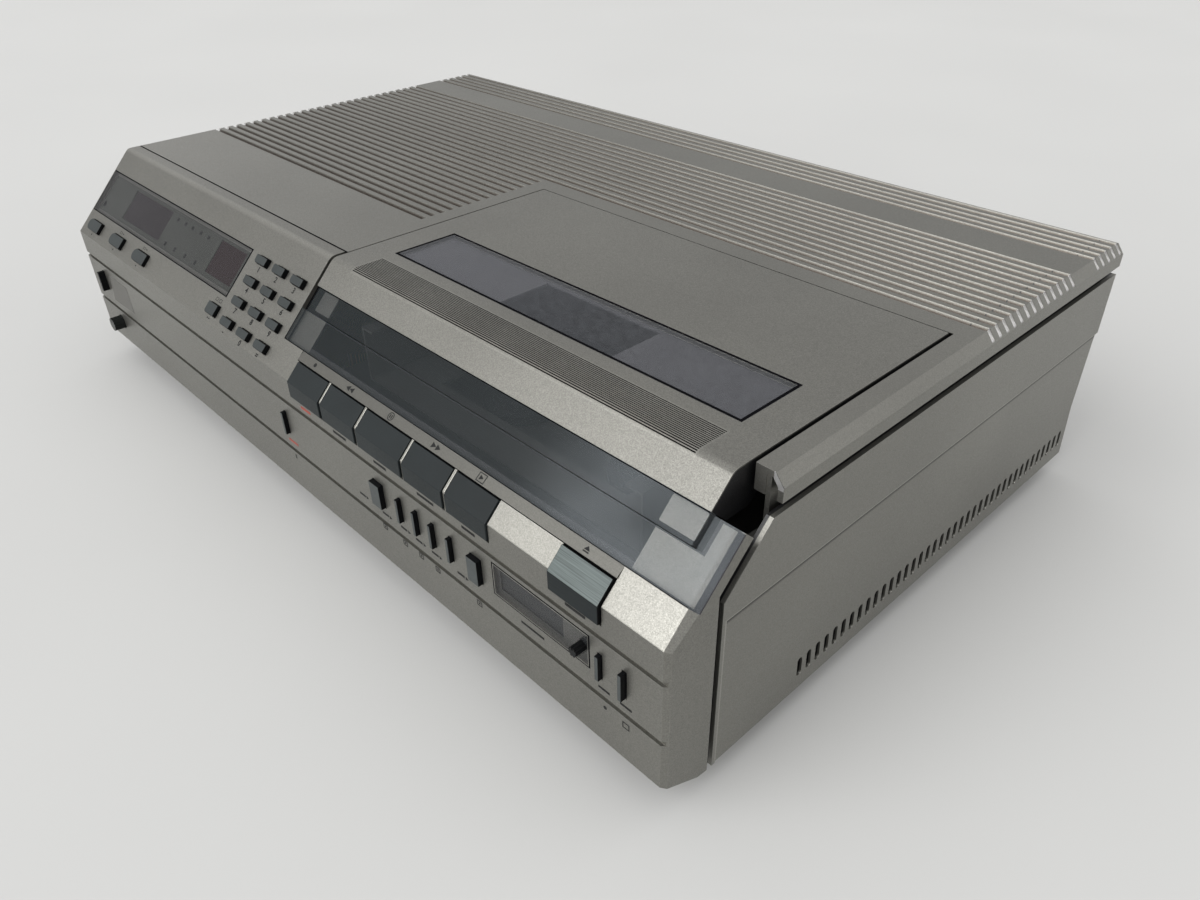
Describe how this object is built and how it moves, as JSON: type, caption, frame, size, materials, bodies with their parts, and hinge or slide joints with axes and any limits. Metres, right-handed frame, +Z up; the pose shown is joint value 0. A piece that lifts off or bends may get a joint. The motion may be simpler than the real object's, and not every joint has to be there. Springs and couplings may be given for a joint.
{
  "type": "video cassette recorder",
  "caption": "Top-loading video cassette recorder: long case with a sloped control panel, piano keys over its front edge, keypad, dark windows and a lift lid over the cassette cage.",
  "frame": {"origin": "centre of the bounding box in plan, on the surface that the feet stand on", "axes": "+X to the right seen from the front, +Y from the front controls to the back, +Z up"},
  "size_m": [0.54, 0.341, 0.136],
  "materials": {
    "case_paint": "fine metallic grey-bronze paint, satin",
    "side_paint": "matt metallic grey paint",
    "plated_steel": "zinc plated sheet",
    "rubber": "matt",
    "socket_plastic": "moulded",
    "smoked_window": "clear smoked plastic, polished",
    "board": "circuit board laminate",
    "dark_plastic": "satin moulded",
    "drum_metal": "turned and polished",
    "flywheel_metal": "turned",
    "transformer_iron": "varnished laminations",
    "key_plastic": "satin slate grey",
    "piano_plastic": "satin dark slate",
    "eject_plastic": "brushed metallic grey"
  },
  "bodies": {
    "case": {"base_tray": "plated_steel", "rubber_feet": "rubber", "top_cover": "case_paint", "right_side_panel": "side_paint", "left_side_panel": "side_paint", "front_fascia": "case_paint", "rear_panel": "plated_steel", "rear_sockets": "socket_plastic", "display_window": "smoked_window", "display_board": "board", "tape_window": "smoked_window", "counter_window": "smoked_window", "counter_display": "dark_plastic", "deck_plate": "plated_steel", "drum_base": "drum_metal", "transformer": "transformer_iron", "main_board": "board", "case_screws": "plated_steel"},
    "keypad_r1_c1_body": {"keypad_r1_c1": "key_plastic"},
    "keypad_r1_c2_body": {"keypad_r1_c2": "key_plastic"},
    "keypad_r1_c3_body": {"keypad_r1_c3": "key_plastic"},
    "keypad_r2_c1_body": {"keypad_r2_c1": "key_plastic"},
    "keypad_r2_c2_body": {"keypad_r2_c2": "key_plastic"},
    "keypad_r2_c3_body": {"keypad_r2_c3": "key_plastic"},
    "keypad_r3_c1_body": {"keypad_r3_c1": "key_plastic"},
    "keypad_r3_c2_body": {"keypad_r3_c2": "key_plastic"},
    "keypad_r3_c3_body": {"keypad_r3_c3": "key_plastic"},
    "keypad_r4_c1_body": {"keypad_r4_c1": "key_plastic"},
    "keypad_r4_c2_body": {"keypad_r4_c2": "key_plastic"},
    "keypad_r4_c3_body": {"keypad_r4_c3": "key_plastic"},
    "side_key_body": {"side_key": "key_plastic"},
    "timer_key_1_body": {"timer_key_1": "key_plastic"},
    "timer_key_2_body": {"timer_key_2": "key_plastic"},
    "timer_key_3_body": {"timer_key_3": "key_plastic"},
    "piano_key_1_body": {"piano_key_1": "piano_plastic"},
    "piano_key_2_body": {"piano_key_2": "piano_plastic"},
    "piano_key_3_body": {"piano_key_3": "piano_plastic"},
    "piano_key_4_body": {"piano_key_4": "piano_plastic"},
    "piano_key_5_body": {"piano_key_5": "piano_plastic"},
    "eject_key_body": {"eject_key": "eject_plastic"},
    "power_button_body": {"power_button": "dark_plastic"},
    "record_button_body": {"record_button": "dark_plastic"},
    "front_button_a_body": {"front_button_a": "dark_plastic"},
    "front_button_b_body": {"front_button_b": "dark_plastic"},
    "slim_button_1_body": {"slim_button_1": "dark_plastic"},
    "slim_button_2_body": {"slim_button_2": "dark_plastic"},
    "slim_button_3_body": {"slim_button_3": "dark_plastic"},
    "slim_button_4_body": {"slim_button_4": "dark_plastic"},
    "end_button_a_body": {"end_button_a": "dark_plastic"},
    "end_button_b_body": {"end_button_b": "dark_plastic"},
    "tracking_knob_body": {"tracking_knob": "dark_plastic"},
    "round_knob_body": {"round_knob": "dark_plastic"},
    "lift": {"lift_lid": "case_paint", "lid_tape_window": "smoked_window", "lid_label_window": "smoked_window", "cassette_basket": "plated_steel"},
    "drum": {"head_drum": "drum_metal"},
    "capstan": {"capstan_flywheel": "flywheel_metal"},
    "supply_reel": {"supply_reel_table": "dark_plastic"},
    "take_up_reel": {"take_up_reel_table": "dark_plastic"}
  },
  "joints": [
    {"name": "tracking_knob_turn", "type": "hinge", "parent": "case", "child": "tracking_knob_body", "pos_m": [0.2262, -0.1635, 0.0643], "axis": [0, -1, 0], "range_deg": [-140, 140]},
    {"name": "round_knob_turn", "type": "hinge", "parent": "case", "child": "round_knob_body", "pos_m": [-0.2368, -0.1635, 0.0344], "axis": [0, -1, 0], "range_deg": [-140, 140]},
    {"name": "lift_pivot", "type": "hinge", "parent": "case", "child": "lift", "pos_m": [0.1268, 0.0085, 0.1275], "axis": [-1, 0, 0], "range_deg": [0, 20]},
    {"name": "drum_spin", "type": "hinge", "parent": "case", "child": "drum", "pos_m": [0.1268, 0.0685, 0.072], "axis": [0, 0, 1], "continuous": true},
    {"name": "capstan_spin", "type": "hinge", "parent": "case", "child": "capstan", "pos_m": [0.2, 0.0505, 0.062], "axis": [0, 0, 1], "continuous": true},
    {"name": "supply_reel_spin", "type": "hinge", "parent": "case", "child": "supply_reel", "pos_m": [0.0808, -0.0695, 0.064], "axis": [0, 0, 1], "continuous": true},
    {"name": "take_up_reel_spin", "type": "hinge", "parent": "case", "child": "take_up_reel", "pos_m": [0.1728, -0.0695, 0.064], "axis": [0, 0, 1], "continuous": true},
    {"name": "side_key_press", "type": "slide", "parent": "case", "child": "side_key_body", "axis": [0, 0.7071, -0.7071], "range_m": [0, 0.0012], "stiffness_N_per_m": 300},
    {"name": "timer_key_1_press", "type": "slide", "parent": "case", "child": "timer_key_1_body", "axis": [0, 0.7071, -0.7071], "range_m": [0, 0.0012], "stiffness_N_per_m": 300},
    {"name": "timer_key_2_press", "type": "slide", "parent": "case", "child": "timer_key_2_body", "axis": [0, 0.7071, -0.7071], "range_m": [0, 0.0012], "stiffness_N_per_m": 300},
    {"name": "timer_key_3_press", "type": "slide", "parent": "case", "child": "timer_key_3_body", "axis": [0, 0.7071, -0.7071], "range_m": [0, 0.0012], "stiffness_N_per_m": 300},
    {"name": "piano_key_1_press", "type": "slide", "parent": "case", "child": "piano_key_1_body", "axis": [0, 0.9239, -0.3827], "range_m": [0, 0.002], "stiffness_N_per_m": 600},
    {"name": "piano_key_2_press", "type": "slide", "parent": "case", "child": "piano_key_2_body", "axis": [0, 0.9239, -0.3827], "range_m": [0, 0.002], "stiffness_N_per_m": 600},
    {"name": "piano_key_3_press", "type": "slide", "parent": "case", "child": "piano_key_3_body", "axis": [0, 0.9239, -0.3827], "range_m": [0, 0.002], "stiffness_N_per_m": 600},
    {"name": "piano_key_4_press", "type": "slide", "parent": "case", "child": "piano_key_4_body", "axis": [0, 0.9239, -0.3827], "range_m": [0, 0.002], "stiffness_N_per_m": 600},
    {"name": "piano_key_5_press", "type": "slide", "parent": "case", "child": "piano_key_5_body", "axis": [0, 0.9239, -0.3827], "range_m": [0, 0.002], "stiffness_N_per_m": 600},
    {"name": "eject_key_press", "type": "slide", "parent": "case", "child": "eject_key_body", "axis": [0, 0.9239, -0.3827], "range_m": [0, 0.002], "stiffness_N_per_m": 600},
    {"name": "power_button_press", "type": "slide", "parent": "case", "child": "power_button_body", "axis": [0, 1, 0], "range_m": [0, 0.002], "stiffness_N_per_m": 400},
    {"name": "record_button_press", "type": "slide", "parent": "case", "child": "record_button_body", "axis": [0, 1, 0], "range_m": [0, 0.0015], "stiffness_N_per_m": 300},
    {"name": "front_button_a_press", "type": "slide", "parent": "case", "child": "front_button_a_body", "axis": [0, 1, 0], "range_m": [0, 0.0015], "stiffness_N_per_m": 300},
    {"name": "front_button_b_press", "type": "slide", "parent": "case", "child": "front_button_b_body", "axis": [0, 1, 0], "range_m": [0, 0.0015], "stiffness_N_per_m": 300},
    {"name": "slim_button_1_press", "type": "slide", "parent": "case", "child": "slim_button_1_body", "axis": [0, 1, 0], "range_m": [0, 0.0015], "stiffness_N_per_m": 300},
    {"name": "slim_button_2_press", "type": "slide", "parent": "case", "child": "slim_button_2_body", "axis": [0, 1, 0], "range_m": [0, 0.0015], "stiffness_N_per_m": 300},
    {"name": "slim_button_3_press", "type": "slide", "parent": "case", "child": "slim_button_3_body", "axis": [0, 1, 0], "range_m": [0, 0.0015], "stiffness_N_per_m": 300},
    {"name": "slim_button_4_press", "type": "slide", "parent": "case", "child": "slim_button_4_body", "axis": [0, 1, 0], "range_m": [0, 0.0015], "stiffness_N_per_m": 300},
    {"name": "end_button_a_press", "type": "slide", "parent": "case", "child": "end_button_a_body", "axis": [0, 1, 0], "range_m": [0, 0.0015], "stiffness_N_per_m": 300},
    {"name": "end_button_b_press", "type": "slide", "parent": "case", "child": "end_button_b_body", "axis": [0, 1, 0], "range_m": [0, 0.0015], "stiffness_N_per_m": 300},
    {"name": "keypad_r1_c1_press", "type": "slide", "parent": "case", "child": "keypad_r1_c1_body", "axis": [0, 0.7071, -0.7071], "range_m": [0, 0.0012], "stiffness_N_per_m": 300},
    {"name": "keypad_r1_c2_press", "type": "slide", "parent": "case", "child": "keypad_r1_c2_body", "axis": [0, 0.7071, -0.7071], "range_m": [0, 0.0012], "stiffness_N_per_m": 300},
    {"name": "keypad_r1_c3_press", "type": "slide", "parent": "case", "child": "keypad_r1_c3_body", "axis": [0, 0.7071, -0.7071], "range_m": [0, 0.0012], "stiffness_N_per_m": 300},
    {"name": "keypad_r2_c1_press", "type": "slide", "parent": "case", "child": "keypad_r2_c1_body", "axis": [0, 0.7071, -0.7071], "range_m": [0, 0.0012], "stiffness_N_per_m": 300},
    {"name": "keypad_r2_c2_press", "type": "slide", "parent": "case", "child": "keypad_r2_c2_body", "axis": [0, 0.7071, -0.7071], "range_m": [0, 0.0012], "stiffness_N_per_m": 300},
    {"name": "keypad_r2_c3_press", "type": "slide", "parent": "case", "child": "keypad_r2_c3_body", "axis": [0, 0.7071, -0.7071], "range_m": [0, 0.0012], "stiffness_N_per_m": 300},
    {"name": "keypad_r3_c1_press", "type": "slide", "parent": "case", "child": "keypad_r3_c1_body", "axis": [0, 0.7071, -0.7071], "range_m": [0, 0.0012], "stiffness_N_per_m": 300},
    {"name": "keypad_r3_c2_press", "type": "slide", "parent": "case", "child": "keypad_r3_c2_body", "axis": [0, 0.7071, -0.7071], "range_m": [0, 0.0012], "stiffness_N_per_m": 300},
    {"name": "keypad_r3_c3_press", "type": "slide", "parent": "case", "child": "keypad_r3_c3_body", "axis": [0, 0.7071, -0.7071], "range_m": [0, 0.0012], "stiffness_N_per_m": 300},
    {"name": "keypad_r4_c1_press", "type": "slide", "parent": "case", "child": "keypad_r4_c1_body", "axis": [0, 0.7071, -0.7071], "range_m": [0, 0.0012], "stiffness_N_per_m": 300},
    {"name": "keypad_r4_c2_press", "type": "slide", "parent": "case", "child": "keypad_r4_c2_body", "axis": [0, 0.7071, -0.7071], "range_m": [0, 0.0012], "stiffness_N_per_m": 300},
    {"name": "keypad_r4_c3_press", "type": "slide", "parent": "case", "child": "keypad_r4_c3_body", "axis": [0, 0.7071, -0.7071], "range_m": [0, 0.0012], "stiffness_N_per_m": 300}
  ]
}
